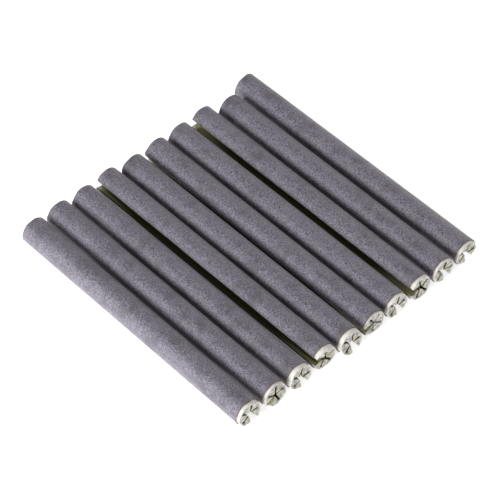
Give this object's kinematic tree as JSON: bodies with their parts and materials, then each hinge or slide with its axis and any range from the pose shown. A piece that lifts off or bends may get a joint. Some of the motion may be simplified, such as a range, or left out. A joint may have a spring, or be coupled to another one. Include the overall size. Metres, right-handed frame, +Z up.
{
  "type": "blending stump set",
  "caption": "Row of blunt round blending sticks, each a pale slotted rod core in a grey grained wrap, laid side by side on a bench.",
  "frame": {"origin": "centre of the box that the row covers, on the bench plane", "axes": "+Z up from the bench; each stump lies along Y with its slotted, proud core end towards -Y; the row runs along X"},
  "size_m": [0.1384, 0.1406, 0.0127],
  "materials": {
    "core": "matt pale ivory extruded foam-like plastic, slightly translucent",
    "wrap": "fine-grained purple-grey coated paper"
  },
  "bodies": {
    "stick_01": {"core_01": "core", "wrap_01": "wrap"},
    "stick_02": {"core_02": "core", "wrap_02": "wrap"},
    "stick_03": {"core_03": "core", "wrap_03": "wrap"},
    "stick_04": {"core_04": "core", "wrap_04": "wrap"},
    "stick_05": {"core_05": "core", "wrap_05": "wrap"},
    "stick_06": {"core_06": "core", "wrap_06": "wrap"},
    "stick_07": {"core_07": "core", "wrap_07": "wrap"},
    "stick_08": {"core_08": "core", "wrap_08": "wrap"},
    "stick_09": {"core_09": "core", "wrap_09": "wrap"},
    "stick_10": {"core_10": "core", "wrap_10": "wrap"}
  },
  "joints": [
    {"name": "lift_01", "type": "slide", "parent": "stick_05", "child": "stick_01", "axis": [0, 0, 1], "range_m": [0, 0.06]},
    {"name": "lift_02", "type": "slide", "parent": "stick_05", "child": "stick_02", "axis": [0, 0, 1], "range_m": [0, 0.06]},
    {"name": "lift_03", "type": "slide", "parent": "stick_05", "child": "stick_03", "axis": [0, 0, 1], "range_m": [0, 0.06]},
    {"name": "lift_04", "type": "slide", "parent": "stick_05", "child": "stick_04", "axis": [0, 0, 1], "range_m": [0, 0.06]},
    {"name": "lift_06", "type": "slide", "parent": "stick_05", "child": "stick_06", "axis": [0, 0, 1], "range_m": [0, 0.06]},
    {"name": "lift_07", "type": "slide", "parent": "stick_05", "child": "stick_07", "axis": [0, 0, 1], "range_m": [0, 0.06]},
    {"name": "lift_08", "type": "slide", "parent": "stick_05", "child": "stick_08", "axis": [0, 0, 1], "range_m": [0, 0.06]},
    {"name": "lift_09", "type": "slide", "parent": "stick_05", "child": "stick_09", "axis": [0, 0, 1], "range_m": [0, 0.06]},
    {"name": "lift_10", "type": "slide", "parent": "stick_05", "child": "stick_10", "axis": [0, 0, 1], "range_m": [0, 0.06]}
  ]
}
